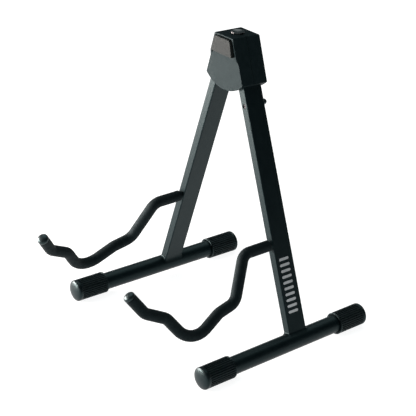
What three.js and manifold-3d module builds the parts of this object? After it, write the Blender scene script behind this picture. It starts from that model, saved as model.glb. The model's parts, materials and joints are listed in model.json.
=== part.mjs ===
// Folding A-frame floor stand for a guitar.
// Two legs hinge in a moulded head, each with a welded floor tube and a foam-covered cradle arm.
// Millimetres, +Z up, +X to the right of someone facing the stand, -Y towards them.

import * as THREE from 'three';
import { mergeVertices } from 'three/addons/utils/BufferGeometryUtils.js';
import Module from 'manifold-3d';

const wasm = await Module();
wasm.setup();

// ---------- driving dimensions ----------

const GAP = 0.3;                  // between pieces that touch

const footRadius = 15.75;         // foot cap, so the floor tube's axis is this high
const footLength = 47.5;          // from the cap's mouth to the start of its dome
const footDome = 5;               // height of the dome on the closed end
const footSocket = 44;            // depth of the cap's bore
const footFacets = 24;            // one facet of the cap lies flat on the floor
const floorTubeRadius = 12.5;     // 25 mm tube
const tubeWall = 1.5;
const frontFootStart = -121;      // mouths of the foot caps, along the floor tube from the leg
const rearFootStart = 71.5;
const toe = THREE.MathUtils.degToRad(1.09);  // the floor tubes' front ends turn outwards

const stanceHalf = 147.4;         // half the distance between the floor tubes, at the legs
const pivotHalf = 17;             // half the distance between the leg pivots
const pivotHeight = 387.2;
const legWidth = 12.8;            // leg tube section, across and front to back
const legDepth = 30.4;
const legCorner = 1.5;
const legScrewHeight = 332.5;     // along the leg, from the floor tube's axis

const headTop = 420.4;
const headTopHalf = 19.2;
const headShoulderHalf = 38.8;    // half width at the lower corners
const headShoulder = 358.5;
const headChin = 343;             // lowest point of the curved lower edge
const headRake = 0.041;           // fall of the head's top and bottom towards the rear
const headFront = -21.1;
const headBrow = -23.6;           // front of the raised block that carries the pad
const headRear = 22.4;
const headInner = 16.3;           // inner faces of the front and rear walls
const headRoof = 416.1;           // top of the hollow
const bossRadius = 3.5;
const bossHole = 2.2;
const padTop = 418.3;
const padLow = 395.9;
const padTopHalf = 16;
const padLowHalf = 22.5;
const boltRadius = 2.4;
const bushRadius = 3.7;
const nutRecess = -19.7;          // floor of the hexagonal pockets for the pivot nuts
const parting = 0.15;             // half the gap between the two shells

const buttonRadius = 9.4;
const buttonTop = 422.9;
const buttonDish = 1.7;           // depth of the hollow for the thumb
const buttonRim = 0.9;            // width of the flat rim round it
const buttonBase = 409.9;
const buttonRoof = 417.6;         // the spring's upper seat, inside the button
const plateLow = 395.2;           // spring plate
const plateHigh = 397.2;
const springRadius = 6;
const springWire = 0.6;
const stemRadius = 2.5;
const stemLow = 358.2;
const wedgeLow = 360;
const wedgeHigh = 368;

const armHeight = 139.6;          // along the leg, from the floor tube's axis
const rodRadius = 4;
const sleeveRadius = 8;
const armTip = [-254.2, 139.6];   // [y, distance along the leg]
const tipLength = 7;
// Bends of the cradle arm in the plane of its leg: y, distance along the leg, bend radius.
const armBends = [
  [-62.2, 139.6, 16],
  [-91, 80.7, 20],
  [-120.6, 74.1, 30],
  [-171.9, 46.4, 34],
  [-202.9, 91.8, 20],
  [-233.7, 108.1, 20],
];

// ---------- derived dimensions ----------

const lean = Math.atan2(stanceHalf - pivotHalf, pivotHeight - footRadius);
const pivotAlongLeg = Math.hypot(stanceHalf - pivotHalf, pivotHeight - footRadius);
const legTop = pivotAlongLeg + legWidth / 2;
const legFront = -legDepth / 2;
const facetStretch = 1 / Math.cos(Math.PI / footFacets);
const stemTop = buttonTop - buttonDish - 2;
const lockWindow = [pivotAlongLeg - 32.3, pivotAlongLeg - 16.8];  // low and high, along the leg
const plugLow = pivotAlongLeg - 15.8;
const frontTubeEnd = frontFootStart - footSocket + 0.5;
const rearTubeEnd = rearFootStart + footSocket - 0.5;

const legFoot = 5;                // the leg's section starts here and is coped over the floor tube
const legScrewHole = 3.4;

// ---------- materials ----------

const finishes = {
  steel: new THREE.MeshStandardMaterial({ color: 0x16191a, roughness: 0.45, metalness: 0.3 }),
  moulding: new THREE.MeshStandardMaterial({ color: 0x1c1f20, roughness: 0.55, metalness: 0 }),
  button: new THREE.MeshStandardMaterial({ color: 0x202324, roughness: 0.35, metalness: 0 }),
  rubber: new THREE.MeshStandardMaterial({ color: 0x191b1b, roughness: 0.6, metalness: 0 }),
  foam: new THREE.MeshStandardMaterial({ color: 0x171b1c, roughness: 0.9, metalness: 0 }),
  pad: new THREE.MeshStandardMaterial({ color: 0x2c2a28, roughness: 0.9, metalness: 0 }),
  nylon: new THREE.MeshStandardMaterial({ color: 0x2a2c2d, roughness: 0.6, metalness: 0 }),
  zinc: new THREE.MeshStandardMaterial({ color: 0x9a9c9e, roughness: 0.35, metalness: 1 }),
  blackScrew: new THREE.MeshStandardMaterial({ color: 0x1a1a1b, roughness: 0.4, metalness: 0.8 }),
};

// ---------- solid helpers ----------

function signedVolume(positions, index) {
  const a = new THREE.Vector3();
  const b = new THREE.Vector3();
  const c = new THREE.Vector3();
  let sum = 0;
  for (let i = 0; i < index.length; i += 3) {
    a.fromArray(positions, 3 * index[i]);
    b.fromArray(positions, 3 * index[i + 1]);
    c.fromArray(positions, 3 * index[i + 2]);
    sum += a.dot(b.cross(c));
  }
  return sum / 6;
}

// Turns a closed three.js geometry into a manifold solid with its faces pointing out.
function toSolid(geometry) {
  geometry.deleteAttribute('normal');
  geometry.deleteAttribute('uv');
  const merged = mergeVertices(geometry, 1e-4);
  const positions = merged.attributes.position.array;
  const kept = [];
  for (let i = 0; i < merged.index.count; i += 3) {
    const [a, b, c] = [0, 1, 2].map((k) => merged.index.getX(i + k));
    if (a !== b && b !== c && c !== a) kept.push(a, b, c);
  }
  if (signedVolume(positions, kept) < 0) kept.reverse();
  return new wasm.Manifold(new wasm.Mesh({
    numProp: 3,
    vertProperties: new Float32Array(positions),
    triVerts: new Uint32Array(kept),
  }));
}

function toMesh(name, solid, finish) {
  const { vertProperties, triVerts } = solid.getMesh();
  const geometry = new THREE.BufferGeometry();
  geometry.setAttribute('position', new THREE.BufferAttribute(vertProperties, 3));
  geometry.setIndex(new THREE.BufferAttribute(triVerts, 1));
  geometry.computeVertexNormals();
  const mesh = new THREE.Mesh(geometry, finishes[finish]);
  mesh.name = name;
  return mesh;
}

function extrude(shape, depth, axes, offset) {
  const geometry = new THREE.ExtrudeGeometry(shape, { depth, bevelEnabled: false, curveSegments: 10 });
  geometry.applyMatrix4(new THREE.Matrix4().makeBasis(...axes));
  geometry.translate(...offset);
  return toSolid(geometry);
}

const [alongX, alongY, alongZ] = [[1, 0, 0], [0, 1, 0], [0, 0, 1]].map((v) => new THREE.Vector3(...v));

// Outline in the X-Z plane, thick along Y.
function frontView(shape, yLow, yHigh) {
  return extrude(shape, yHigh - yLow, [alongX, alongZ, alongY.clone().negate()], [0, yHigh, 0]);
}

// Outline in the Y-Z plane, thick along X.
function sideView(shape, xLow, xHigh) {
  return extrude(shape, xHigh - xLow, [alongY, alongZ, alongX], [xLow, 0, 0]);
}

// Outline in the X-Y plane, thick along Z.
function planView(shape, zLow, zHigh) {
  return extrude(shape, zHigh - zLow, [alongX, alongY, alongZ], [0, 0, zLow]);
}

// Solid of revolution about Y; the profile is a list of [radius, y].
function turnedY(profile, segments = 24) {
  const points = profile.map(([radius, height]) => new THREE.Vector2(radius, height));
  return toSolid(new THREE.LatheGeometry(points, segments));
}

// Solid of revolution about Z; the profile is a list of [radius, z].
function turnedZ(profile, segments = 24) {
  const points = profile.map(([radius, height]) => new THREE.Vector2(radius, height));
  const geometry = new THREE.LatheGeometry(points, segments);
  geometry.rotateX(Math.PI / 2);
  return toSolid(geometry);
}

const discProfile = (radius, low, high) => [[0, low], [radius, low], [radius, high], [0, high]];
const ringProfile = (inner, outer, low, high) => [
  [inner, low], [outer, low], [outer, high], [inner, high], [inner, low],
];

function rodY(radius, x, z, yLow, yHigh, segments = 24) {
  return turnedY(discProfile(radius, yLow, yHigh), segments).translate([x, 0, z]);
}

function polygon(points) {
  return new THREE.Shape(points.map(([x, y]) => new THREE.Vector2(x, y)));
}

function rectangle(xLow, yLow, xHigh, yHigh) {
  return polygon([[xLow, yLow], [xHigh, yLow], [xHigh, yHigh], [xLow, yHigh]]);
}

function roundedRectangle(width, height, radius, segments = 4) {
  const points = [];
  [[1, 1], [-1, 1], [-1, -1], [1, -1]].forEach(([sx, sy], corner) => {
    for (let i = 0; i <= segments; i += 1) {
      const angle = (corner + i / segments) * (Math.PI / 2);
      points.push([
        sx * (width / 2 - radius) + radius * Math.cos(angle),
        sy * (height / 2 - radius) + radius * Math.sin(angle),
      ]);
    }
  });
  return polygon(points);
}

function hexagon(acrossFlats) {
  const corner = acrossFlats / Math.sqrt(3);
  return polygon([0, 1, 2, 3, 4, 5].map((i) => [
    corner * Math.cos((i * Math.PI) / 3),
    corner * Math.sin((i * Math.PI) / 3),
  ]));
}

function hexPrismY(acrossFlats, x, z, yLow, yHigh) {
  return frontView(hexagon(acrossFlats), yLow, yHigh).translate([x, 0, z]);
}

function cutAll(solid, cutters) {
  return cutters.reduce((left, cutter) => left.subtract(cutter), solid);
}

function addAll(solid, pieces) {
  return pieces.reduce((joined, piece) => joined.add(piece), solid);
}

// Cross cut into a screw's head, between two distances along Y.
function crossSlots(reach, half, yLow, yHigh) {
  return [[reach, half], [half, reach]].map(([wide, tall]) => (
    frontView(rectangle(-wide, -tall, wide, tall), yLow, yHigh)));
}

// ---------- head ----------

// Outline in the X-Z plane, thick along Y and falling towards the rear.
function rakedView(shape, yLow, yHigh) {
  const forwards = new THREE.Vector3(0, -1, headRake);
  return extrude(shape, yHigh - yLow, [alongX, alongZ, forwards], [0, yHigh, -headRake * yHigh]);
}

function headOutline() {
  const rise = headShoulder - headChin;
  const radius = (headShoulderHalf ** 2 + rise ** 2) / (2 * rise);
  const sweep = Math.asin(headShoulderHalf / radius);
  const outline = new THREE.Shape();
  const shoulder = 0.9;
  const slope = (headShoulderHalf - headTopHalf) / (headTop - headShoulder);
  outline.moveTo(headTopHalf - shoulder, headTop);
  outline.lineTo(-headTopHalf + shoulder, headTop);
  outline.lineTo(-headTopHalf - slope * shoulder, headTop - shoulder);
  outline.lineTo(-headShoulderHalf, headShoulder);
  outline.absarc(0, headChin + radius, radius, -Math.PI / 2 - sweep, -Math.PI / 2 + sweep, false);
  outline.lineTo(headTopHalf + slope * shoulder, headTop - shoulder);
  return outline;
}

// The hollow's sides lie against the open legs and are their stops.
function headHollow() {
  const play = (legWidth / 2 + GAP) / Math.cos(lean);
  const below = headChin - 5;
  const belowHalf = pivotHalf + play + Math.tan(lean) * (pivotHeight - below);
  const roofHalf = 16.3;
  const rightSide = [
    [belowHalf, below], [pivotHalf + play, pivotHeight], [pivotHalf + play, pivotHeight + 5],
    [roofHalf, headRoof],
  ];
  return polygon([...rightSide, ...rightSide.map(([x, z]) => [-x, z]).reverse()]);
}

const screwPlaces = [
  { name: 'upper_left', x: -14.6, z: 408.5 },
  { name: 'upper_right', x: 14.6, z: 408.5 },
  { name: 'lower', x: 0, z: 349.5 },
];
const screwSeat = 19.6;           // floors of the recesses in the rear shell
const boltSeat = 19;
const padRecess = 1.5;            // depth of the recess that the pad sits in

function buttonHole() {
  return turnedZ(discProfile(buttonRadius + GAP, headRoof - 11, headTop + 1), 24);
}

// Screw bosses from y = low to y = high, and the ledge under the spring plate.
function headInsides(low, high, ledgeLow, ledgeHigh) {
  const ledgeHalf = 8.5;
  const ledgeTop = plateLow - GAP;
  const bosses = screwPlaces.map(({ x, z }) => rodY(bossRadius, x, z, low, high, 14));
  const ledge = rectangle(-ledgeHalf, ledgeTop - 4, ledgeHalf, ledgeTop);
  return [...bosses, frontView(ledge, ledgeLow, ledgeHigh)];
}

function headFrontShell() {
  const [browLow, browEdge] = [394, 0.5];
  const roof = headTop - headRake * headBrow;
  const profile = polygon([
    [-parting, 330], [-parting, roof + 1], [headBrow + browEdge + 1, roof + 1], [headBrow, roof - browEdge],
    [headBrow, browLow], [headFront, browLow - 8], [headFront, 330],
  ]);
  let shell = rakedView(headOutline(), headBrow - 1, parting).intersect(sideView(profile, -50, 50));
  shell = shell.subtract(frontView(headHollow(), -headInner, 1));
  shell = addAll(shell, headInsides(-headInner - 1, -parting, -headInner - 1, -9.5));
  return cutAll(shell, [
    buttonHole(),
    frontView(padOutline(1.2, browLow - 14), headBrow - 1, headBrow + padRecess),
    ...screwPlaces.map(({ x, z }) => rodY(bossHole, x, z, -12.5, 1, 12)),
    ...[-1, 1].map((side) => hexPrismY(8.6, side * pivotHalf, pivotHeight, nutRecess, -headInner + 1)),
  ]);
}

function headRearShell() {
  const edge = 1;
  const roof = headTop - headRake * headRear;
  const profile = polygon([
    [parting, 330], [parting, roof + edge + 1], [headRear - 2 * edge - 1, roof + edge + 1],
    [headRear, roof - edge], [headRear, 330],
  ]);
  let shell = rakedView(headOutline(), -parting, headRear + 1).intersect(sideView(profile, -50, 50));
  shell = shell.subtract(frontView(headHollow(), -1, headInner));
  shell = addAll(shell, headInsides(parting, headInner + 1, 9.5, headInner + 1));
  const screwHoles = screwPlaces.flatMap(({ x, z }) => [
    rodY(bossHole, x, z, -1, headRear + 1, 12),
    rodY(3.9, x, z, screwSeat, headRear + 1, 16),
  ]);
  const boltHoles = [-1, 1].flatMap((side) => [
    rodY(boltRadius + GAP, side * pivotHalf, pivotHeight, headInner - 1, headRear + 1, 14),
    rodY(5.2, side * pivotHalf, pivotHeight, boltSeat, headRear + 1, 18),
  ]);
  return cutAll(shell, [buttonHole(), ...screwHoles, ...boltHoles]);
}

// Rest pad on the front of the head, widening downwards; margin widens it all round.
function padOutline(margin, low) {
  const top = padTop + margin;
  const topHalf = padTopHalf + margin;
  const slope = (padLowHalf - padTopHalf) / (padTop - padLow);
  const bottomHalf = padLowHalf + margin + slope * (padLow - low);
  const corner = 2;
  return polygon([
    [topHalf - corner, top], [-topHalf + corner, top], [-topHalf - 0.3 * corner, top - corner],
    [-bottomHalf, low], [bottomHalf, low], [topHalf + 0.3 * corner, top - corner],
  ]);
}

function headPad() {
  const back = headBrow + padRecess - GAP;
  const wedge = polygon([[back, 390], [back, 420], [-26.65, 420], [-28.27, 390]]);
  return frontView(padOutline(0, padLow), -30, -20).intersect(sideView(wedge, -30, 30));
}

// Pan-head screw through the rear shell into the front shell's boss.
function shellScrew({ x, z }) {
  const head = screwSeat + GAP;
  const profile = [
    [0, -12], [1.9, -12], [1.9, head], [3.4, head], [3.4, head + 1.3], [2.6, head + 2.2], [0, head + 2.4],
  ];
  return cutAll(turnedY(profile, 16), crossSlots(2.1, 0.45, head + 1.1, head + 3)).translate([x, 0, z]);
}

// The bolts stay in the head; each leg turns on its bush around one of them.
function pivotBolt(side) {
  const seat = boltSeat + GAP;
  const end = nutRecess + GAP;
  const profile = [
    [0, end], [boltRadius, end], [boltRadius, seat], [4.7, seat], [4.7, seat + 1.4], [3.9, seat + 2.4],
    [0, seat + 2.6],
  ];
  const bolt = turnedY(profile, 18).translate([side * pivotHalf, 0, pivotHeight]);
  return bolt.subtract(hexPrismY(3, side * pivotHalf, pivotHeight, seat + 1, seat + 4));
}

function pivotNut(side) {
  const nut = hexPrismY(8, side * pivotHalf, pivotHeight, nutRecess + GAP, -headInner - GAP);
  return nut.subtract(rodY(boltRadius + GAP, side * pivotHalf, pivotHeight, -25, 0, 20));
}

function springPlate() {
  const half = 15;
  const depthHalf = headInner - GAP;
  const plate = frontView(rectangle(-half, plateLow, half, plateHigh), -depthHalf, depthHalf);
  return plate.subtract(turnedZ(discProfile(stemRadius + 0.7, plateLow - 5, plateHigh + 5), 20));
}

class Helix extends THREE.Curve {
  constructor(radius, low, high, turns) {
    super();
    Object.assign(this, { radius, low, high, turns });
  }

  getPoint(t, target = new THREE.Vector3()) {
    const angle = 2 * Math.PI * this.turns * t;
    const height = this.low + (this.high - this.low) * t;
    return target.set(this.radius * Math.cos(angle), this.radius * Math.sin(angle), height);
  }
}

function roundSection(radius, sides) {
  return polygon(Array.from({ length: sides }, (_, i) => {
    const angle = (2 * Math.PI * i) / sides;
    return [radius * Math.cos(angle), radius * Math.sin(angle)];
  }));
}

function buttonSpring() {
  const turns = 5;
  const stepsPerTurn = 10;
  const [seat, roof] = [plateHigh + GAP + springWire, buttonRoof - GAP - springWire];
  return toSolid(new THREE.ExtrudeGeometry(roundSection(springWire, 6), {
    steps: turns * stepsPerTurn,
    extrudePath: new Helix(springRadius, seat, roof, turns),
  }));
}

// ---------- lock: moves down with the button ----------

// Dished cap with a socket for the stem, a ring-shaped hollow for the spring and a collar
// that stops it under the head's roof.
function pushButton() {
  const stemSocket = stemRadius + GAP;
  const [springInside, springOutside] = [4.4, 7.4];
  const [collar, collarHigh, collarThick] = [10.8, headRoof - 0.4, 2.5];
  const dishHalf = buttonRadius - buttonRim;
  const dishRadius = (dishHalf ** 2 + buttonDish ** 2) / (2 * buttonDish);
  const dishFloor = buttonTop - buttonDish;
  const profile = [
    [0, stemTop + GAP], [stemSocket, stemTop + GAP], [stemSocket, buttonBase], [springInside, buttonBase],
    [springInside, buttonRoof], [springOutside, buttonRoof], [springOutside, buttonBase],
    [buttonRadius, buttonBase], [buttonRadius, collarHigh - collarThick], [collar, collarHigh - collarThick],
    [collar, collarHigh], [buttonRadius, collarHigh], [buttonRadius, buttonTop],
  ];
  const dishSteps = 4;
  for (let i = dishSteps; i >= 0; i -= 1) {
    const radius = (dishHalf * i) / dishSteps;
    profile.push([radius, dishFloor + dishRadius - Math.sqrt(dishRadius ** 2 - radius ** 2)]);
  }
  return turnedZ(profile, 20);
}

function buttonStem() {
  return turnedZ(discProfile(stemRadius, stemLow, stemTop), 12);
}

// Sits between the open legs and meets both inner faces.
function lockWedge() {
  const depthHalf = 7;
  const half = (z) => pivotHalf + Math.tan(lean) * (pivotHeight - z) - (legWidth / 2 + 0.4) / Math.cos(lean);
  const outline = polygon([
    [-half(wedgeLow), wedgeLow], [half(wedgeLow), wedgeLow],
    [half(wedgeHigh), wedgeHigh], [-half(wedgeHigh), wedgeHigh],
  ]);
  return frontView(outline, -depthHalf, depthHalf)
    .subtract(turnedZ(discProfile(stemRadius + GAP, wedgeLow - 5, wedgeHigh + 5), 16));
}

function stemClip() {
  const high = wedgeLow - 0.4;
  return turnedZ(ringProfile(stemRadius + GAP, 4.6, high - 0.9, high), 20);
}

// ---------- leg: local Z runs up the leg from the floor tube's axis ----------

// Side outline of the leg, round at the top about its pivot.
function legOutline(inset, low) {
  const half = legWidth / 2 - inset;
  const outline = new THREE.Shape();
  outline.moveTo(-half, low);
  outline.lineTo(half, low);
  outline.lineTo(half, pivotAlongLeg);
  outline.absarc(0, pivotAlongLeg, half, 0, Math.PI, false);
  return outline;
}

// Rod about the floor tube's axis, turned with it out of the leg's own frame.
function baseRod(radius, side) {
  return rodY(radius, 0, 0, -30, 30, 48)
    .rotate([0, 0, side * THREE.MathUtils.radToDeg(toe)])
    .rotate([0, side * THREE.MathUtils.radToDeg(lean), 0]);
}

function legTube(side) {
  const insideCorner = 1;
  const [inside, insideDepth] = [legWidth, legDepth].map((size) => size - 2 * tubeWall);
  const section = roundedRectangle(legWidth, legDepth, legCorner);
  section.holes.push(roundedRectangle(inside, insideDepth, insideCorner, 2));
  const tube = planView(section, legFoot, legTop + 1);
  const inner = side > 0 ? [-legWidth, 0] : [0, legWidth];
  const cutters = [
    baseRod(floorTubeRadius + GAP, side),
    rodY(bushRadius + GAP, 0, pivotAlongLeg, -20, 20, 24),
    frontView(rectangle(inner[0], lockWindow[0], inner[1], lockWindow[1]), -8, 8),
  ];
  if (side > 0) {
    cutters.push(rodY(legScrewHole, 0, legScrewHeight, -20, 0, 20));
    cutters.push(rodY(2.2, 0, legScrewHeight, 0, 20, 16));
  }
  return cutAll(tube.intersect(frontView(legOutline(0, legFoot), -20, 20)), cutters);
}

function legPlug() {
  const [width, depth] = [legWidth, legDepth].map((size) => size - 2 * tubeWall - 2 * GAP);
  const block = planView(roundedRectangle(width, depth, 1, 2), plugLow, legTop + 1);
  return block.intersect(frontView(legOutline(GAP, plugLow - 8), -20, 20))
    .subtract(rodY(bushRadius + GAP, 0, pivotAlongLeg, -20, 20, 24));
}

function pivotBush() {
  return turnedY(ringProfile(boltRadius + GAP, bushRadius, -headInner + GAP, headInner - GAP), 24)
    .translate([0, 0, pivotAlongLeg]);
}

// Fillet of weld all round the foot of the leg, following the tube.
function legWeld(side) {
  const bead = 2.4;
  const outline = (margin, corner) => (
    roundedRectangle(legWidth + 2 * margin, legDepth + 2 * margin, legCorner + corner));
  return planView(outline(bead, bead), legFoot, 20)
    .subtract(planView(outline(GAP, GAP), legFoot - 1, 21))
    .intersect(baseRod(floorTubeRadius + bead, side))
    .subtract(baseRod(floorTubeRadius + GAP, side));
}

function floorTube() {
  return turnedY(ringProfile(floorTubeRadius - tubeWall, floorTubeRadius, frontTubeEnd, rearTubeEnd), 32);
}

// Rubber cap about Y: its mouth at y = 0, its closed end towards +Y.
function footCap() {
  const bore = floorTubeRadius + GAP;
  const profile = [[0, footSocket], [bore, footSocket], [bore, 0], [footRadius, 0]];
  const domeSteps = 4;
  for (let i = 0; i <= domeSteps; i += 1) {
    const angle = (i * Math.PI) / 2 / domeSteps;
    const share = i === domeSteps ? 0 : Math.cos(angle);
    profile.push([footRadius * share, footLength + footDome * Math.sin(angle)]);
  }
  const points = profile.map(([radius, y]) => new THREE.Vector2(radius * facetStretch, y));
  return toSolid(new THREE.LatheGeometry(points, footFacets, Math.PI / footFacets));
}

// Screw across the right leg, its head sunk in the front face.
function legScrew() {
  const profile = [
    [0, -14], [3, -14], [3, -12.7], [1.9, -11.7], [1.9, 19.4], [0, 19.4],
  ];
  return cutAll(turnedY(profile, 20), crossSlots(1.9, 0.4, -15, -13.1)).translate([0, 0, legScrewHeight]);
}

function legScrewNut() {
  const start = legDepth / 2 + GAP;
  const profile = [
    [0, start], [4.2, start], [4.2, start + 4], [3.8, start + 5.6], [2.6, start + 6.8], [0, start + 7.4],
  ];
  return turnedY(profile, 18)
    .subtract(turnedY(discProfile(2.2, start - 1, start + 4.5), 12))
    .translate([0, 0, legScrewHeight]);
}

// ---------- cradle arm ----------

// Straight runs joined by round bends. Its steps are one to a run and several to a bend.
class BentRoute extends THREE.Curve {
  constructor(start, bends, finish) {
    super();
    this.stations = [];
    const places = [start, ...bends, finish].map(([y, z]) => new THREE.Vector3(0, y, z));
    this.addStation(places[0], places[1].clone().sub(places[0]).normalize());
    bends.forEach((bend, i) => this.addBend(places[i], places[i + 1], places[i + 2], bend[2]));
    const last = places.length - 1;
    this.addStation(places[last], places[last].clone().sub(places[last - 1]).normalize());
  }

  addStation(point, tangent) {
    this.stations.push({ point, tangent });
  }

  addBend(before, corner, after, radius) {
    const into = corner.clone().sub(before).normalize();
    const out = after.clone().sub(corner).normalize();
    const turn = into.angleTo(out);
    const inward = out.clone().sub(into.clone().multiplyScalar(into.dot(out))).normalize();
    const start = corner.clone().addScaledVector(into, -radius * Math.tan(turn / 2));
    const centre = start.clone().addScaledVector(inward, radius);
    const steps = Math.max(2, Math.ceil(turn / THREE.MathUtils.degToRad(16)));
    for (let i = 0; i <= steps; i += 1) {
      const angle = (turn * i) / steps;
      const tangent = into.clone().multiplyScalar(Math.cos(angle)).addScaledVector(inward, Math.sin(angle));
      const point = centre.clone()
        .addScaledVector(inward, -radius * Math.cos(angle))
        .addScaledVector(into, radius * Math.sin(angle));
      this.addStation(point, tangent);
    }
  }

  get steps() {
    return this.stations.length - 1;
  }

  getPointAt(u, target = new THREE.Vector3()) {
    return target.copy(this.stations[Math.round(u * this.steps)].point);
  }

  getTangentAt(u, target = new THREE.Vector3()) {
    return target.copy(this.stations[Math.round(u * this.steps)].tangent);
  }
}

const lastBend = armBends[armBends.length - 1];
const tipDirection = new THREE.Vector2(armTip[0] - lastBend[0], armTip[1] - lastBend[1]).normalize();

function armEnd(distanceFromTip) {
  return [armTip[0] - distanceFromTip * tipDirection.x, armTip[1] - distanceFromTip * tipDirection.y];
}

function armRod() {
  const route = new BentRoute([legFront - GAP, armHeight], armBends, armEnd(3));
  return toSolid(new THREE.ExtrudeGeometry(roundSection(rodRadius, 8), {
    steps: route.steps,
    extrudePath: route,
  }));
}

function armSleeve() {
  const route = new BentRoute([legFront - 3.4, armHeight], armBends, armEnd(tipLength));
  const section = roundSection(sleeveRadius, 14);
  section.holes.push(roundSection(rodRadius + 0.6, 8));
  return toSolid(new THREE.ExtrudeGeometry(section, { steps: route.steps, extrudePath: route }));
}

function armWeld() {
  const start = legFront - GAP;
  const profile = [
    [rodRadius + GAP, start], [rodRadius + 2.6, start], [rodRadius + 2.2, start - 1.2],
    [rodRadius + GAP, start - 2.6], [rodRadius + GAP, start],
  ];
  return turnedY(profile, 20).translate([0, 0, armHeight]);
}

// Domed rubber cap over the end of the rod.
function armTipCap() {
  const radius = sleeveRadius;
  const skirt = 2.4;
  const profile = [[0, GAP], [radius, GAP], [radius, skirt]];
  const domeSteps = 4;
  for (let i = 1; i <= domeSteps; i += 1) {
    const angle = (i * Math.PI) / 2 / domeSteps;
    const share = i === domeSteps ? 0 : Math.cos(angle);
    profile.push([radius * share, skirt + (tipLength - skirt) * Math.sin(angle)]);
  }
  const cap = turnedZ(profile, 18).subtract(turnedZ(discProfile(rodRadius + 0.5, -1, tipLength - 2.4), 12));
  const tilt = THREE.MathUtils.radToDeg(Math.atan2(-tipDirection.x, tipDirection.y));
  const [y, z] = armEnd(tipLength);
  return cap.rotate([tilt, 0, 0]).translate([0, y, z]);
}

// ---------- assembly ----------

const stand = new THREE.Group();

function addHead() {
  const head = new THREE.Group();
  head.add(toMesh('head_front_shell', headFrontShell(), 'moulding'));
  head.add(toMesh('head_rear_shell', headRearShell(), 'moulding'));
  head.add(toMesh('head_pad', headPad(), 'pad'));
  screwPlaces.forEach((place) => {
    head.add(toMesh(`shell_screw_${place.name}`, shellScrew(place), 'blackScrew'));
  });
  [['left', -1], ['right', 1]].forEach(([name, side]) => {
    head.add(toMesh(`${name}_pivot_bolt`, pivotBolt(side), 'blackScrew'));
    head.add(toMesh(`${name}_pivot_nut`, pivotNut(side), 'zinc'));
  });
  head.add(toMesh('spring_plate', springPlate(), 'zinc'));
  head.add(toMesh('button_spring', buttonSpring(), 'zinc'));
  head.add(toMesh('push_button', pushButton(), 'button'));
  head.add(toMesh('button_stem', buttonStem(), 'zinc'));
  head.add(toMesh('lock_wedge', lockWedge(), 'nylon'));
  head.add(toMesh('stem_clip', stemClip(), 'zinc'));
  stand.add(head);
}

// Floor tube and its caps, upright again and toed out at the front.
function legBase(name, side) {
  const base = new THREE.Group();
  base.rotation.order = 'YZX';
  base.rotation.set(0, side * lean, side * toe);
  base.add(toMesh(`${name}_floor_tube`, floorTube(), 'steel'));
  [['front', frontFootStart, Math.PI], ['rear', rearFootStart, 0]].forEach(([end, start, turn]) => {
    const cap = toMesh(`${name}_${end}_foot_cap`, footCap(), 'rubber');
    cap.rotation.z = turn;
    cap.position.y = start;
    base.add(cap);
  });
  return base;
}

function addLeg(name, side) {
  const leg = new THREE.Group();
  leg.position.set(side * stanceHalf, 0, footRadius);
  leg.rotation.y = -side * lean;
  leg.add(toMesh(`${name}_leg_tube`, legTube(side), 'steel'));
  leg.add(toMesh(`${name}_leg_plug`, legPlug(), 'nylon'));
  leg.add(toMesh(`${name}_pivot_bush`, pivotBush(), 'nylon'));
  leg.add(toMesh(`${name}_leg_weld`, legWeld(side), 'steel'));
  leg.add(toMesh(`${name}_arm_rod`, armRod(), 'steel'));
  leg.add(toMesh(`${name}_arm_weld`, armWeld(), 'steel'));
  leg.add(toMesh(`${name}_arm_sleeve`, armSleeve(), 'foam'));
  leg.add(toMesh(`${name}_arm_tip_cap`, armTipCap(), 'rubber'));
  leg.add(legBase(name, side));
  if (side > 0) {
    leg.add(toMesh('right_leg_screw', legScrew(), 'blackScrew'));
    leg.add(toMesh('right_leg_screw_nut', legScrewNut(), 'rubber'));
  }
  stand.add(leg);
}

addHead();
addLeg('left', -1);
addLeg('right', 1);

// The origin is on the floor, under the middle of the whole stand.
stand.updateMatrixWorld(true);
const reach = new THREE.Box3().setFromObject(stand, true);
stand.position.y = -(reach.min.y + reach.max.y) / 2;

export default stand;
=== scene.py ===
"""Looks of the folding guitar stand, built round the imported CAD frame.

Lengths are in metres in the frame's own axes: +Z up, -Y to the front, X = 0 between the legs.
Names ending in _mm, and the profiles of turned pieces and foot caps, are in millimetres until MM
scales them.
"""

import json
import math

import bmesh
import bpy
import numpy as np
from mathutils import Matrix, Vector


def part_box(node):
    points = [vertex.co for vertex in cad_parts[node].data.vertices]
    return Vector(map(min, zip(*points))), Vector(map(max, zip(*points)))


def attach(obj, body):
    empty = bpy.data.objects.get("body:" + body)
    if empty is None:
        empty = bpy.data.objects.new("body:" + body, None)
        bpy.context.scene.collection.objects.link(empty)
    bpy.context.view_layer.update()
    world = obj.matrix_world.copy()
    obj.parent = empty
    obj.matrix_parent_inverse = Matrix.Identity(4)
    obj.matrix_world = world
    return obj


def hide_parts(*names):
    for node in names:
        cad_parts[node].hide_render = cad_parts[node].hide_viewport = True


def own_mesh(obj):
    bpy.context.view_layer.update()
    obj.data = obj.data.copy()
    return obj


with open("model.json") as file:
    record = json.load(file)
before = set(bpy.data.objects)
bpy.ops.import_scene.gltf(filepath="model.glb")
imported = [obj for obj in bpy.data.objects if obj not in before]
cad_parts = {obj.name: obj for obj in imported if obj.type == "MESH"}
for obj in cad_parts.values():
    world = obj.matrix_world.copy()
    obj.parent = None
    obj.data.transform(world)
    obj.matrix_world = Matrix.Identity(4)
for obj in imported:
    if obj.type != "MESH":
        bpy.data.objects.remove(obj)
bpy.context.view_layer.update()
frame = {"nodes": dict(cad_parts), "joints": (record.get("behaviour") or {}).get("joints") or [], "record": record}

MM = 0.001
SIDES = {"left": -1, "right": 1}

# ---------- dimensions that the frame doesn't give ----------

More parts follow.
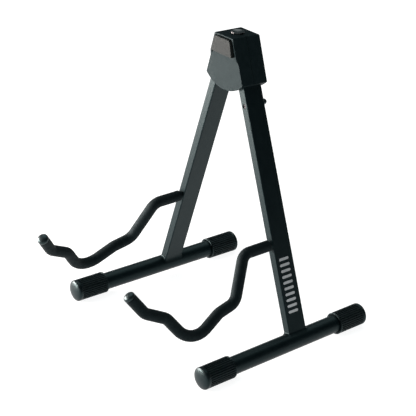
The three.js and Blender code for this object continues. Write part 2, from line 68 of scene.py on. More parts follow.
stance_half_mm = 147.4
toe_degrees = 1.09
tube_wall_mm = 1.5
tube_ends_mm = (-164.5, 115)
foot_mouth_mm = {"front": -121, "rear": 71.5}
foot_length_mm = 47.5
foot_dome_mm = 5
foot_ribs = 32
leg_width_mm = 12.8
leg_depth_mm = 30.4
leg_corner_mm = 1.5
leg_screw_mm = 332.5
arm_height_mm = 139.6
rod_radius_mm = 4
sleeve_radius_mm = 8
tip_length_mm = 7
arm_tip_mm = (-254.2, 139.6)
arm_bends_mm = [
    (-62.2, 139.6, 16),
    (-91, 80.7, 20),
    (-120.6, 74.1, 30),
    (-171.9, 46.4, 34),
    (-202.9, 91.8, 20),
    (-233.7, 108.1, 20),
]


# ---------- camera, light and floor ----------

def make_camera():
    """Long lens at the front right, as fitted to the photograph's straight edges."""
    place = Vector((1.4316, -1.118, 1.0318))
    azimuth, elevation, roll = (math.radians(x) for x in (51.444, 25.132, 1.139))
    back = Vector((
        math.sin(azimuth) * math.cos(elevation),
        -math.cos(azimuth) * math.cos(elevation),
        math.sin(elevation),
    ))
    right = Vector((math.cos(azimuth), math.sin(azimuth), 0))
    up = back.cross(right)
    side = right * math.cos(roll) + up * math.sin(roll)
    top = up * math.cos(roll) - right * math.sin(roll)
    data = bpy.data.cameras.new("camera")
    data.sensor_width = 36
    data.lens = 125.34
    data.clip_start = 0.05
    data.clip_end = 50
    camera = bpy.data.objects.new("camera", data)
    camera.matrix_world = Matrix((
        (side.x, top.x, back.x, place.x),
        (side.y, top.y, back.y, place.y),
        (side.z, top.z, back.z, place.z),
        (0, 0, 0, 1),
    ))
    bpy.context.scene.collection.objects.link(camera)
    bpy.context.scene.camera = camera


def add_softbox(name, place, aim, width, height, watts, colour=(1, 1, 1)):
    data = bpy.data.lights.new(name, "AREA")
    data.shape = "RECTANGLE"
    data.size = width
    data.size_y = height
    data.energy = watts
    data.color = colour
    light = bpy.data.objects.new(name, data)
    light.location = place
    light.rotation_mode = "QUATERNION"
    light.rotation_quaternion = (Vector(aim) - Vector(place)).to_track_quat("-Z", "Y")
    bpy.context.scene.collection.objects.link(light)


def stage_material(name, colour, glow=0.0):
    """Plain matt material for what stands round the object; glow is how brightly it shines by itself."""
    material = bpy.data.materials.new(name)
    material.use_nodes = True
    shader = material.node_tree.nodes["Principled BSDF"]
    shader.inputs["Base Color"].default_value = (*colour, 1)
    shader.inputs["Roughness"].default_value = 0.9
    shader.inputs["Specular IOR Level"].default_value = 0.0
    shader.inputs["Emission Color"].default_value = (1, 1, 1, 1)
    shader.inputs["Emission Strength"].default_value = glow
    return material


def add_dark_card(name, centre, facing, width, height):
    """Black card that only reflections see. It keeps the faces turned towards it deep and dark."""
    bpy.ops.mesh.primitive_grid_add(x_subdivisions=1, y_subdivisions=1, size=1)
    card = bpy.context.object
    card.name = name
    card.scale = (width, height, 1)
    card.rotation_mode = "QUATERNION"
    card.rotation_quaternion = Vector(facing).to_track_quat("Z", "Y")
    card.location = centre
    card.visible_camera = False
    card.visible_diffuse = False
    card.visible_shadow = False
    card.data.materials.append(stage_material("black_card", (0.002, 0.003, 0.0035)))


def add_backdrop():
    """White wall round the studio that only the camera sees, so that low views end in white too."""
    bpy.ops.mesh.primitive_cylinder_add(vertices=64, radius=20, depth=30, end_fill_type="NOTHING")
    wall = bpy.context.object
    wall.name = "backdrop"
    wall.location = (0, 0, 14)
    wall.visible_diffuse = False
    wall.visible_glossy = False
    wall.visible_shadow = False
    wall.data.materials.append(stage_material("white_backdrop", (0, 0, 0), glow=1.0))


def add_floor():
    """Pale floor that glows a little, so that it renders white as in the photograph."""
    bpy.ops.mesh.primitive_grid_add(x_subdivisions=1, y_subdivisions=1, size=60, location=(0, 0, 0))
    floor = bpy.context.object
    floor.name = "floor"
    floor.data.materials.append(stage_material("pale_floor", (0.35, 0.35, 0.35), glow=0.92))


def make_studio():
    """Soft cool light from above, a warm softbox low on the left and a black card on the right."""
    world = bpy.data.worlds.new("studio")
    bpy.context.scene.world = world
    world.use_nodes = True
    background = world.node_tree.nodes["Background"]
    background.inputs["Color"].default_value = (0.62, 0.93, 1.0, 1)
    background.inputs["Strength"].default_value = 0.11
    bpy.context.scene.view_settings.view_transform = "Standard"
    bpy.context.scene.view_settings.look = "None"

    overhead = bpy.data.lights.new("overhead", "SUN")
    overhead.energy = 1.2
    overhead.color = (0.93, 1, 1)
    overhead.angle = math.radians(60)
    lamp = bpy.data.objects.new("overhead", overhead)
    lamp.rotation_mode = "QUATERNION"
    lamp.rotation_quaternion = Vector((-0.27, 0.21, 0.94)).to_track_quat("Z", "Y")
    bpy.context.scene.collection.objects.link(lamp)
    add_softbox("key", (-1.25, -1.15, 0.27), (-0.05, 0, 0.2), 1.3, 0.5, 124, (1, 0.89, 0.85))
    add_dark_card("right_card", (0.95, 0.85, 0.98), (-0.75, -0.66, 0), 2.6, 1.95)

    add_floor()
    add_backdrop()


# ---------- materials ----------

cold_tint = (0.62, 0.97, 1)


class Finish:
    """A procedural material in object coordinates, which ride with the body the piece is on."""

    def __init__(self, name, metallic=0.0, specular=0.5, tint=(1, 1, 1)):
        self.material = bpy.data.materials.new(name)
        self.material.use_nodes = True
        self.tree = self.material.node_tree
        self.shader = self.tree.nodes["Principled BSDF"]
        self.shader.inputs["Metallic"].default_value = metallic
        self.shader.inputs["Specular IOR Level"].default_value = specular
        self.shader.inputs["Specular Tint"].default_value = (*tint, 1)
        self.place = self.tree.nodes.new("ShaderNodeTexCoord").outputs["Object"]
        self.height = None

    def link(self, output, target):
        self.tree.links.new(output, target)

    def noise(self, per_metre, detail):
        node = self.tree.nodes.new("ShaderNodeTexNoise")
        node.inputs["Scale"].default_value = per_metre
        node.inputs["Detail"].default_value = detail
        self.link(self.place, node.inputs["Vector"])
        return node.outputs["Fac"]

    def cells(self, per_metre):
        node = self.tree.nodes.new("ShaderNodeTexVoronoi")
        node.inputs["Scale"].default_value = per_metre
        self.link(self.place, node.inputs["Vector"])
        return node.outputs["Distance"]

    def ramp(self, factor, low, high):
        """Blends from low to high over the middle of the noise's range, where most of it lies."""
        node = self.tree.nodes.new("ShaderNodeValToRGB")
        node.color_ramp.elements[0].position = 0.3
        node.color_ramp.elements[0].color = low
        node.color_ramp.elements[1].position = 0.7
        node.color_ramp.elements[1].color = high
        self.link(factor, node.inputs["Fac"])
        return node.outputs["Color"]

    def colour(self, factor, low, high):
        self.link(self.ramp(factor, (*low, 1), (*high, 1)), self.shader.inputs["Base Color"])

    def vary_roughness(self, factor, low, high):
        grey = self.ramp(factor, (low, low, low, 1), (high, high, high, 1))
        self.link(grey, self.shader.inputs["Roughness"])

    def bump(self, factor, depth):
        """Adds one layer of relief, depth in metres, over the layers already there."""
        node = self.tree.nodes.new("ShaderNodeBump")
        node.inputs["Distance"].default_value = depth
        node.inputs["Strength"].default_value = 1.0
        self.link(factor, node.inputs["Height"])
        if self.height:
            self.link(self.height, node.inputs["Normal"])
        self.height = node.outputs["Normal"]
        self.link(self.height, self.shader.inputs["Normal"])


def powder_coat():
    """Satin black powder coat: faint orange peel with a fine sand on top."""
    finish = Finish("satin_powder_coat", specular=0.2, tint=cold_tint)
    finish.colour(finish.noise(90, 3), (0.0022, 0.0055, 0.0068), (0.0038, 0.0080, 0.0094))
    finish.vary_roughness(finish.noise(500, 3), 0.385, 0.45)
    finish.bump(finish.noise(650, 2), 0.00006)
    finish.bump(finish.noise(3200, 1), 0.000015)
    return finish.material


def moulded_nylon():
    """Black glass-filled nylon with a spark-eroded grain."""
    finish = Finish("moulded_nylon", specular=0.07, tint=cold_tint)
    finish.colour(finish.noise(140, 3), (0.0048, 0.0098, 0.0113), (0.0075, 0.0135, 0.0150))
    finish.vary_roughness(finish.noise(700, 3), 0.47, 0.53)
    finish.bump(finish.cells(1500), 0.00004)
    finish.bump(finish.noise(4200, 1), 0.00002)
    return finish.material


def pad_foam():
    """Warm grey-black foam rubber with open pores."""
    finish = Finish("pad_foam", specular=0.09, tint=(0.85, 0.97, 1))
    finish.shader.inputs["Roughness"].default_value = 0.6
    finish.colour(finish.noise(900, 4), (0.0074, 0.0096, 0.0090), (0.0122, 0.0156, 0.0146))
    finish.bump(finish.cells(1900), 0.00010)
    finish.bump(finish.noise(3600, 2), 0.00006)
    finish.shader.inputs["Sheen Weight"].default_value = 0.08
    finish.shader.inputs["Sheen Roughness"].default_value = 0.5
    return finish.material


def sleeve_foam():
    """Black closed-cell foam with fine cells in its skin."""
    finish = Finish("sleeve_foam", specular=0.12, tint=cold_tint)
    finish.colour(finish.noise(160, 3), (0.003, 0.0056, 0.0070), (0.0055, 0.0088, 0.0102))
    finish.vary_roughness(finish.noise(300, 3), 0.6, 0.78)
    finish.bump(finish.cells(1500), 0.00005)
    finish.bump(finish.noise(3800, 2), 0.00004)
    finish.shader.inputs["Sheen Weight"].default_value = 0.02
    finish.shader.inputs["Sheen Roughness"].default_value = 0.6
    return finish.material


def foot_rubber():
    """Moulded black rubber with a faint bloom."""
    finish = Finish("foot_rubber", specular=0.25, tint=cold_tint)
    finish.colour(finish.noise(120, 4), (0.0035, 0.0058, 0.0070), (0.006, 0.0090, 0.0102))
    finish.vary_roughness(finish.noise(350, 3), 0.3, 0.42)
    finish.bump(finish.noise(1800, 2), 0.00003)
    return finish.material


def tip_rubber():
    """Smooth moulded rubber of the arm tips and the leg screw's nut."""
    finish = Finish("tip_rubber", specular=0.4, tint=cold_tint)
    finish.colour(finish.noise(150, 3), (0.007, 0.0095, 0.0105), (0.011, 0.0140, 0.0148))
    finish.vary_roughness(finish.noise(500, 3), 0.32, 0.44)
    finish.bump(finish.noise(2400, 2), 0.00002)
    return finish.material


def button_plastic():
    """Smooth black plastic, glossier than the head round it."""
    finish = Finish("button_plastic", specular=0.9)
    finish.colour(finish.noise(200, 3), (0.004, 0.0062, 0.0072), (0.0065, 0.0092, 0.0102))
    finish.vary_roughness(finish.noise(600, 3), 0.26, 0.34)
    finish.bump(finish.noise(3000, 2), 0.000012)
    return finish.material


def black_oxide():
    """Blackened steel of the screws and bolts."""
    finish = Finish("black_oxide", metallic=1.0)
    finish.colour(finish.noise(700, 4), (0.040, 0.040, 0.042), (0.070, 0.070, 0.074))
    finish.vary_roughness(finish.noise(900, 3), 0.28, 0.45)
    finish.bump(finish.noise(5000, 2), 0.00001)
    return finish.material


def zinc_plate():
    """Bright plating of the small steel parts inside the head."""
    finish = Finish("zinc_plate", metallic=1.0)
    finish.colour(finish.noise(500, 4), (0.46, 0.47, 0.50), (0.62, 0.62, 0.62))
    finish.vary_roughness(finish.noise(900, 3), 0.24, 0.42)
    finish.bump(finish.noise(4000, 2), 0.00001)
    return finish.material


def silver_print():
    """Silver ink of the dashes on the right leg."""
    finish = Finish("silver_print", metallic=0.6)
    finish.colour(finish.noise(1200, 4), (0.54, 0.55, 0.56), (0.68, 0.69, 0.70))
    finish.vary_roughness(finish.noise(2500, 3), 0.35, 0.5)
    finish.bump(finish.noise(5000, 2), 0.000008)
    return finish.material


# ---------- mesh helpers ----------

def add_object(name, mesh, finish, body, stands_for=(), sharp_degrees=35):
    """Puts a mesh on a body, in place of the nodes it stands for."""
    mesh.polygons.foreach_set("use_smooth", [True] * len(mesh.polygons))
    mesh.set_sharp_from_angle(angle=math.radians(sharp_degrees))
    piece = bpy.data.objects.new(name, mesh)
    bpy.context.scene.collection.objects.link(piece)
    mesh.materials.clear()
    mesh.materials.append(finish)
    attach(piece, body)
    if stands_for:
        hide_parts(*stands_for)
    return piece


def face_out(bm):
    bmesh.ops.recalc_face_normals(bm, faces=bm.faces)
    if bm.calc_volume(signed=True) < 0:
        bmesh.ops.reverse_faces(bm, faces=bm.faces)


def to_mesh(name, bm):
    face_out(bm)
    mesh = bpy.data.meshes.new(name)
    bm.to_mesh(mesh)
    bm.free()
    return mesh


def loft(name, rings, closed=False):
    """Skin over a list of rings. A ring of one point is a pole; closed joins the last to the first."""
    bm = bmesh.new()
    made = [[bm.verts.new(point) for point in ring] for ring in rings]
    pairs = list(zip(made, made[1:]))
    if closed:
        pairs.append((made[-1], made[0]))
    for low, high in pairs:
        count = max(len(low), len(high))
        for i in range(count):
            j = (i + 1) % count
            if len(low) == 1:
                bm.faces.new((low[0], high[j], high[i]))
            elif len(high) == 1:
                bm.faces.new((low[i], low[j], high[0]))
            else:
                bm.faces.new((low[i], low[j], high[j], high[i]))
    return to_mesh(name, bm)


def turned(name, profile, segments, place, closed=False):
    """Solid of revolution: profile is (radius, distance) in metres, place maps local points to the frame."""
    rings = []
    for radius, distance in profile:
        if radius < 1e-7:
            rings.append([place @ Vector((0, 0, distance))])
            continue
        rings.append([
            place @ Vector((radius * math.cos(a), radius * math.sin(a), distance))
            for a in (2 * math.pi * i / segments for i in range(segments))
        ])
    return loft(name, rings, closed)


def arc_points(centre, radius, start, end, steps):
    """Points of an arc in profile coordinates; angles in degrees from the radius axis."""
    angles = [math.radians(start + (end - start) * i / steps) for i in range(steps + 1)]
    return [(centre[0] + radius * math.cos(a), centre[1] + radius * math.sin(a)) for a in angles]


def axis_frame(origin, direction):
    """Matrix that puts local +Z along direction, from origin."""
    return Matrix.Translation(origin) @ Vector(direction).to_track_quat("Z", "Y").to_matrix().to_4x4()


def refined_copy(node, name, finish, body, bevel_mm, segments=3, least_angle=32):
    """The node's own shape with its flat faces whole again and its edges rounded."""
    bm = bmesh.new()
    bm.from_mesh(frame["nodes"][node].data)
    bmesh.ops.remove_doubles(bm, verts=bm.verts, dist=1e-6)
    bmesh.ops.dissolve_limit(bm, angle_limit=math.radians(1.0), verts=bm.verts, edges=bm.edges)
    piece = add_object(name, to_mesh(name, bm), finish, body, [node], sharp_degrees=180)
    round_edges(piece, bevel_mm, segments, least_angle)
    return piece


def round_edges(piece, width_mm, segments, least_angle):
    """Rounds edges that turn by least_angle degrees or more, and keeps flat faces flat in their shading."""
    bevel = piece.modifiers.new("rounded", "BEVEL")
    bevel.width = width_mm * MM
    bevel.segments = segments
    bevel.limit_method = "ANGLE"
    bevel.angle_limit = math.radians(least_angle)
    bevel.use_clamp_overlap = True
    normals = piece.modifiers.new("flat_faces", "WEIGHTED_NORMAL")
    normals.mode = "FACE_AREA"
    normals.weight = 100
    graph = bpy.context.evaluated_depsgraph_get()
    mesh = bpy.data.meshes.new_from_object(piece.evaluated_get(graph))
    piece.modifiers.clear()
    piece.data = mesh


# ---------- the leg's own frame ----------

pivot_of = {j["child"]: Vector(j["pos_m"]) for j in frame["joints"] if j["type"] == "hinge"}


def leg_foot(name):
    """Point of the floor tube's axis under the middle of the leg."""
    low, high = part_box(f"{name}_floor_tube")
    return Vector((SIDES[name] * stance_half_mm * MM, pivot_of[f"{name}_leg"].y, (low.z + high.z) / 2))


def base_frame(name):
    """Local Z along the floor tube towards the rear, local Y down, from the foot of the leg."""
    turn = math.radians(SIDES[name] * toe_degrees)
    return Matrix.Translation(leg_foot(name)) @ Matrix((
        (math.cos(turn), 0, -math.sin(turn), 0),
        (math.sin(turn), 0, math.cos(turn), 0),
        (0, -1, 0, 0),
        (0, 0, 0, 1),
    ))


def leg_frame(name):
    """Local X across the leg, Y as the frame's, Z up the leg from the floor tube's axis."""
    pivot = pivot_of[f"{name}_leg"]
    origin = leg_foot(name)
    up = (pivot - origin).normalized()
    back = Vector((0, 1, 0))
    across = back.cross(up)
    return Matrix((
        (across.x, back.x, up.x, origin.x),
        (across.y, back.y, up.y, origin.y),
        (across.z, back.z, up.z, origin.z),
        (0, 0, 0, 1),
    ))


# ---------- feet and floor tubes ----------

def foot_cap_profile(radius):
    """Half section of a foot cap: (radius, distance from the mouth, share of the ribs' depth), in mm."""
    bore, bore_depth, edge = 13.0, 44, 0.4
    collar = 1.5
    crown = radius - 0.1
    rib_start, rib_end = collar + 0.8, foot_length_mm - 4
    rib_rings, dome_steps = 12, 14
    profile = [(0, bore_depth, 0), (bore - edge, bore_depth, 0), (bore, bore_depth - edge, 0)]
    profile += [(bore, edge, 0), (bore + edge, 0, 0)]
    profile += [(radius - edge, 0, 0), (radius - 0.3 * edge, 0.3 * edge, 0), (radius, edge, 0)]
    profile += [(radius, collar, 0), (crown, collar + 0.3, 0.5), (crown, rib_start, 0.9)]
    rib_step = (rib_end - rib_start) / rib_rings
    profile += [(crown, rib_start + rib_step * (i + 0.5), 1) for i in range(rib_rings)]
    profile += [(crown, rib_end, 0.9), (crown, rib_end + 0.6, 0.5), (radius, rib_end + 1.2, 0)]
    profile += [(radius, foot_length_mm, 0)]
    for i in range(1, dome_steps + 1):
        angle = math.pi / 2 * i / dome_steps
        share = math.cos(angle) if i < dome_steps else 0
        profile.append((radius * share, foot_length_mm + foot_dome_mm * math.sin(angle), 0))
    return profile


def foot_cap(side, end, finish):
    """Rubber cap: narrow collar at its mouth, ribs along it, then a smooth domed end."""
    low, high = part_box(f"{side}_{end}_foot_cap")
    groove = 1.4
    to_frame = base_frame(side)
    outward = 1 if end == "rear" else -1
    around = foot_ribs * 12
    rings = []
    for ring_radius, distance, ribbed in foot_cap_profile((high.z - low.z) / 2 / MM):
        along = (foot_mouth_mm[end] + outward * distance) * MM
        if ring_radius < 1e-4:
            rings.append([to_frame @ Vector((0, 0, along))])
            continue
        ring = []
        for i in range(around):
            angle = 2 * math.pi * i / around
            dip = min(1, max(0, 0.5 + 0.8 * math.cos(foot_ribs * angle)))
            r = (ring_radius - ribbed * groove * dip) * MM
            ring.append(to_frame @ Vector((r * math.cos(angle), r * math.sin(angle), along)))
        rings.append(ring)
    name = f"{side}_{end}_ribbed_foot"
    add_object(name, loft(name, rings), finish, f"{side}_leg", [f"{side}_{end}_foot_cap"], 60)


def floor_tube(side, finish):
    """Round tube, open at both ends inside the foot caps."""
    node = f"{side}_floor_tube"
    low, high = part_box(node)
    radius = (high.z - low.z) / 2 / MM
    inner, edge = radius - tube_wall_mm, 0.3
    front, rear = tube_ends_mm
    profile = [
        (inner, front), (radius - edge, front), (radius, front + edge),
        (radius, rear - edge), (radius - edge, rear), (inner, rear),
    ]
    name = f"{side}_round_tube"
    mesh = turned(name, [(r * MM, d * MM) for r, d in profile], 96, base_frame(side), closed=True)
    add_object(name, mesh, finish, f"{side}_leg", [node])


def leg_outline():
    """Points 0.5 mm apart round the leg's section, each (x, y, outward x, outward y) in metres."""
    corner = leg_corner_mm * MM
    half = (leg_width_mm / 2 * MM - corner, leg_depth_mm / 2 * MM - corner)
    corners = []
    for quarter, (sx, sy) in enumerate([(1, 1), (-1, 1), (-1, -1), (1, -1)]):
        for i in range(9):
            angle = (quarter + i / 8) * math.pi / 2
            corners.append((sx * half[0], sy * half[1], math.cos(angle), math.sin(angle)))
    points = []
    for a, b in zip(corners, corners[1:] + corners[:1]):
        ends = [np.array((p[0] + corner * p[2], p[1] + corner * p[3], p[2], p[3])) for p in (a, b)]
        span = np.linalg.norm(ends[1][:2] - ends[0][:2])
        steps = max(1, round(span / (0.5 * MM)))
        points += [ends[0] + (ends[1] - ends[0]) * k / steps for k in range(steps)]
    return points


def weld_section(size, ripple):
    """Section of the bead, a fillet with a hollow face: (distance from the leg, rise over the tube)."""
    root, arc_steps = 0.3 * MM, 6
    hollow = 0.80 + 0.06 * ripple
    section = [(root, 0.0), (root, size)]
    for k in range(1, arc_steps):
        angle = math.pi / 2 * k / arc_steps
        out = root + size * (1 - math.cos(angle)) * hollow * 0.95
        section.append((out, size * (1 - math.sin(angle) * hollow)))
    section.append((root + size, 0.0))
    return section


def weld_bead(side, finish):
    """Rippled fillet of weld between the foot of the leg and the floor tube."""
    to_frame = leg_frame(side)
    low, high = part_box(f"{side}_floor_tube")
    tube = (high.z - low.z) / 2 + 0.3 * MM
    ripple_pitch = 1.5 * MM
    mean_size, ripple_size, drift_size = 2.05, 0.28, 0.3
    waves = 12
    drift = np.random.default_rng(3).normal(0, 1, waves)
    points = leg_outline()
    rings = []
    travelled = 0.0
    for i, (x, y, nx, ny) in enumerate(points):
        travelled += np.linalg.norm(points[i][:2] - points[i - 1][:2]) if i else 0
        turn = 2 * math.pi * i / len(points)
        slow = sum(drift[k] * math.sin((k % 6 + 2) * turn + k) for k in range(waves)) / waves
        ripple = 0.5 + 0.5 * math.cos(2 * math.pi * travelled / ripple_pitch)
        size = (mean_size + ripple_size * ripple + drift_size * slow) * MM
        ring = []
        for out, rise in weld_section(size, ripple):
            px = x + nx * out
            py = y + ny * out
            base = math.sqrt(max(tube ** 2 - px ** 2, 1e-12))
            ring.append(to_frame @ Vector((px, py, base + rise)))
        rings.append(ring)
    name = f"{side}_weld_bead"
    mesh = loft(name, rings, closed=True)
    add_object(name, mesh, finish, f"{side}_leg", [f"{side}_leg_weld"], 60)


# ---------- cradle arms ----------

def bent_route(start, bends, end, step):
    """Stations (point, tangent, curvature towards the left of travel) of straight runs and round bends."""
    corners = [np.array(start)] + [np.array(b[:2]) for b in bends] + [np.array(end)]
    stations = []
    here = corners[0]
    for i, bend in enumerate(bends):
        into = corners[i + 1] - corners[i]
        into = into / np.linalg.norm(into)
        out = corners[i + 2] - corners[i + 1]
        out = out / np.linalg.norm(out)
        turn = math.atan2(into[0] * out[1] - into[1] * out[0], into @ out)
        radius = bend[2]
        begin = corners[i + 1] - into * radius * math.tan(abs(turn) / 2)
        stations += straight_run(here, begin, into, step)
        left = np.array((-into[1], into[0]))
        way = math.copysign(1, turn)
        centre = begin + left * radius * way
        count = max(3, math.ceil(abs(turn) * radius / step))
        for k in range(count):
            angle = turn * k / count
            spin = np.array(((math.cos(angle), -math.sin(angle)), (math.sin(angle), math.cos(angle))))
            stations.append((centre + spin @ (begin - centre), spin @ into, way / radius))
        spin = np.array(((math.cos(turn), -math.sin(turn)), (math.sin(turn), math.cos(turn))))
        here = centre + spin @ (begin - centre)
    final = corners[-1] - here
    final = final / np.linalg.norm(final)
    stations += straight_run(here, corners[-1], final, step)
    stations.append((corners[-1], final, 0.0))
    return stations


def straight_run(begin, end, along, step):
    """Stations from begin up to, but without, end."""
    count = max(1, math.ceil(np.linalg.norm(end - begin) / step))
    return [(begin + (end - begin) * k / count, along, 0.0) for k in range(count)]


def arm_end(back_from_tip_mm):
    """Point on the arm's last straight run, that far back from its tip, and the run's direction."""
    last = np.array(arm_bends_mm[-1][:2])
    tip = np.array(arm_tip_mm)
    along = (tip - last) / np.linalg.norm(tip - last)
    return tip - along * back_from_tip_mm, along


def smoothed(values, reach):
    """Moving average over reach values to either side, weighted towards the middle."""
    kernel = np.hanning(2 * reach + 1)
    padded = np.pad(values, reach, mode="edge")
    return np.convolve(padded, kernel / kernel.sum(), mode="valid")


def arm_sleeve(side, finish):
    """Foam tube over the rod. It pinches and creases on the inside of each bend."""
    to_frame = leg_frame(side)
    step = 1.0
    gap_to_leg = 3.4
    crease_pitch = 3.4
    start = (-leg_depth_mm / 2 - gap_to_leg, arm_height_mm)
    stations = bent_route(start, arm_bends_mm, arm_end(tip_length_mm)[0], step)
    bend = smoothed(np.array([s[2] for s in stations]) * sleeve_radius_mm, 4)
    around = 48
    angles = np.arange(around) * 2 * np.pi / around
    towards_left = np.cos(angles)
    rings = []

    def ring(index, radius_mm, ribbed=True, slide=0.0):
        point, along, _ = stations[index]
        left = np.array((-along[1], along[0]))
        squeeze = bend[index]
        inside = np.clip(towards_left * np.sign(squeeze), 0, 1)
        crease = 0.5 + 0.5 * math.cos(2 * math.pi * index * step / crease_pitch)
        sharpness = min(1, abs(squeeze) * 1.6)
        pinch = abs(squeeze) * inside ** 2 * (0.35 + 0.5 * inside ** 4 * crease * sharpness)
        radii = radius_mm - (pinch if ribbed else 0)
        made = []
        for r, a in zip(np.broadcast_to(radii, (around,)), angles):
            flat = point + along * slide + left * r * math.cos(a)
            made.append(to_frame @ Vector((r * math.sin(a) * MM, flat[0] * MM, flat[1] * MM)))
        rings.append(made)

    last = len(stations) - 1
    inner = rod_radius_mm + 0.6
    edge = 0.7
    every = 3
    for share in (1, 0.6, 0.25, 0):
        ring(0, sleeve_radius_mm - edge * share ** 1.5, slide=edge * (1 - share) ** 1.5)
    for i in range(1, last):
        ring(i, sleeve_radius_mm)
    for share in (0, 0.25, 0.6, 1):
        ring(last, sleeve_radius_mm - edge * share ** 1.5, slide=-edge * (1 - share) ** 1.5)
    for i in range(last, -1, -every):
        ring(i, inner, ribbed=False)
    ring(0, inner, ribbed=False)
    name = f"{side}_foam_sleeve"
    piece = add_object(name, loft(name, rings, closed=True), finish, f"{side}_leg",
                       [f"{side}_arm_sleeve"], 50)


def arm_tip(side, finish):
    """Domed cap with a rolled lip, hollow for the rod's end."""
    to_frame = leg_frame(side)
    base, along = arm_end(tip_length_mm)
    origin = to_frame @ Vector((0, base[0] * MM, base[1] * MM))
    direction = (to_frame.to_3x3() @ Vector((0, along[0], along[1]))).normalized()
    radius, skirt, lip = sleeve_radius_mm, 2.1, 0.35
    bore, bore_depth = rod_radius_mm + 0.5, 4.4
    face = 0.3
    profile = [(0, bore_depth), (bore - 0.4, bore_depth), (bore, bore_depth - 0.4), (bore, 2 * face)]
    profile += [(bore + 0.3, face), (radius - lip, face)]
    profile += arc_points((radius - lip, face + lip), lip, -60, 0, 3)
    profile += [(radius, skirt)]
    rise, dome_steps = tip_length_mm - skirt, 12
    for i in range(1, dome_steps + 1):
        angle = math.radians(90 / dome_steps * i)
        share = math.cos(angle) if i < dome_steps else 0
        profile.append((radius * share, skirt + rise * math.sin(angle)))
    name = f"{side}_domed_tip"
    mesh = turned(name, [(r * MM, d * MM) for r, d in profile], 64, axis_frame(origin, direction))
    add_object(name, mesh, finish, f"{side}_leg", [f"{side}_arm_tip_cap"], 50)


# ---------- legs ----------

def leg_tube(side, finish):
    """Flat tube of one leg, from the CAD shape."""
    refined_copy(f"{side}_leg_tube", f"{side}_flat_leg", finish, f"{side}_leg", 0.35)


def leg_nut(finish):
    """Round rubber nut that stands out of the back of the right leg."""
    low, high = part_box("right_leg_screw_nut")
    length = (high.y - low.y) / MM
    origin = leg_frame("right") @ Vector((0, 0, leg_screw_mm * MM))
    origin.y = low.y
    radius, bore, bore_depth = 4.2, 2.2, 4.5
    straight, dome_steps = 0.42, 10
    profile = [(0, bore_depth), (bore, bore_depth), (bore, 0.2), (bore + 0.2, 0)]
    profile += [(radius - 0.3, 0), (radius, 0.3), (radius, length * straight)]
    for i in range(1, dome_steps + 1):
        angle = math.radians(90 / dome_steps * i)
        share = math.cos(angle) if i < dome_steps else 0
        profile.append((radius * share, length * (straight + (1 - straight) * math.sin(angle))))
    name = "right_leg_round_nut"
    mesh = turned(name, [(r * MM, d * MM) for r, d in profile], 48, axis_frame(origin, (0, 1, 0)))
    add_object(name, mesh, finish, "right_leg", ["right_leg_screw_nut"], 50)


def leg_dashes(finish):
    """Plain printed dashes, one over the other up the outer face of the right leg."""
    to_frame = leg_frame("right")
    faces = [(leg_width_mm / 2 + lift) * MM for lift in (0.02, 0.07)]
    first, pitch, count = 42, 8.3, 10
    middle_y, half, round_end = -1.5, 8.5, 1.9
    bm = bmesh.new()
    for i in range(count):
        middle = first + pitch * i
        outline = []
        for centre, start in ((half - round_end, -90), (round_end - half, 90)):
            for k in range(9):
                angle = math.radians(start + 22.5 * k)
                y = middle_y + centre + round_end * math.cos(angle)
                outline.append((y, middle + round_end * math.sin(angle)))
        rows = [[bm.verts.new(to_frame @ Vector((x, y * MM, z * MM))) for y, z in outline] for x in faces]
        bm.faces.new(rows[0][::-1])
        bm.faces.new(rows[1])
        for k in range(len(outline)):
            j = (k + 1) % len(outline)
            bm.faces.new((rows[0][k], rows[0][j], rows[1][j], rows[1][k]))
    name = "right_leg_printed_dashes"
    add_object(name, to_mesh(name, bm), finish, "right_leg")


# ---------- head ----------

def head_shells(finish):
    """Front and rear moulding, from the CAD shapes."""
    for part in ("front", "rear"):
        refined_copy(f"head_{part}_shell", f"head_{part}_moulding", finish, "head", 0.5, 3)


def head_pad(finish):
    """Foam pad with soft edges."""
    piece = refined_copy("head_pad", "head_foam_pad", finish, "head", 0.8, 4, 25)


def push_button(finish):
    """Push button with a shallow hollow for the thumb and a collar that keeps it in the head."""
    low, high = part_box("push_button")
    base, top = low.z / MM, high.z / MM
    collar = (high.x - low.x) / 2 / MM
    radius, rim, dish, edge = 9.4, 0.9, 1.7, 0.3
    socket, socket_roof = 2.8, base + 9.3
    spring_inside, spring_outside, spring_roof = 4.4, 7.4, base + 7.7
    collar_top = base + 5.8
    collar_low = collar_top - 2.5
    profile = [(0, socket_roof), (socket, socket_roof), (socket, base)]
    profile += [(spring_inside, base), (spring_inside, spring_roof)]
    profile += [(spring_outside, spring_roof), (spring_outside, base)]
    profile += [(radius, base), (radius, collar_low), (collar, collar_low)]
    profile += [(collar, collar_top), (radius, collar_top)]
    profile += [(radius, top - edge), (radius - 0.3 * edge, top - 0.3 * edge), (radius - edge, top)]
    dish_steps = 16
    for i in range(dish_steps + 1):
        share = 1 - i / dish_steps
        profile.append(((radius - rim) * share, top - dish * (1 - share ** 2)))
    place = Matrix.Translation(((low.x + high.x) / 2, (low.y + high.y) / 2, 0))
    name = "dished_button"
    mesh = turned(name, [(r * MM, d * MM) for r, d in profile], 72, place)
    add_object(name, mesh, finish, "lock", ["push_button"], 40)


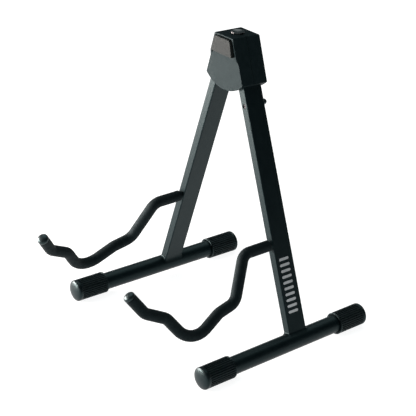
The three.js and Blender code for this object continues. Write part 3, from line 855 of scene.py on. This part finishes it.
def button_spring(finish):
    """Coil spring of round wire between its plate and the button."""
    low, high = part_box("button_spring")
    centre = (low + high) / 2
    wire = 0.6 * MM
    radius = (high.x - low.x) / 2 - wire
    turns, steps, around = 5, 28, 10
    rise = high.z - low.z - 2 * wire
    slope = rise / turns / (2 * math.pi * radius)
    start = Vector((centre.x, centre.y, low.z + wire))
    rings = []
    for i in range(turns * steps + 1):
        turn = 2 * math.pi * i / steps
        out = Vector((math.cos(turn), math.sin(turn), 0))
        along = Vector((-math.sin(turn), math.cos(turn), slope)).normalized()
        over = out.cross(along)
        point = start + out * radius + Vector((0, 0, rise * i / (turns * steps)))
        angles = [2 * math.pi * k / around for k in range(around)]
        rings.append([point + (out * math.cos(a) + over * math.sin(a)) * wire for a in angles])
        if i in (0, turns * steps):
            rings.insert(len(rings) if i else 0, [point])
    name = "button_coil_spring"
    piece = add_object(name, loft(name, rings), finish, "head", ["button_spring"], 60)
    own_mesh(piece)


# ---------- assembly ----------

def paint_nodes(finishes):
    """Gives the CAD nodes that stay their own finish."""
    slots = {row["node"]: row["material_slot"] for row in frame["record"]["subparts"]}
    for node, piece in frame["nodes"].items():
        piece.data.materials.clear()
        piece.data.materials.append(finishes[slots[node]])


def build():
    """Every piece of the stand, in its finish."""
    finishes = {
        "coated_steel": powder_coat(),
        "moulding": moulded_nylon(),
        "pad": pad_foam(),
        "sleeve_foam": sleeve_foam(),
        "foot_rubber": foot_rubber(),
        "tip_rubber": tip_rubber(),
        "button": button_plastic(),
        "black_screw": black_oxide(),
        "zinc": zinc_plate(),
    }
    finishes["nylon"] = finishes["moulding"]
    paint_nodes(finishes)
    head_shells(finishes["moulding"])
    head_pad(finishes["pad"])
    push_button(finishes["button"])
    button_spring(finishes["zinc"])
    for side in SIDES:
        leg_tube(side, finishes["coated_steel"])
        floor_tube(side, finishes["coated_steel"])
        weld_bead(side, finishes["coated_steel"])
        arm_sleeve(side, finishes["sleeve_foam"])
        arm_tip(side, finishes["tip_rubber"])
        for end in foot_mouth_mm:
            foot_cap(side, end, finishes["foot_rubber"])
    leg_nut(finishes["tip_rubber"])
    leg_dashes(silver_print())


make_camera()
make_studio()
build()
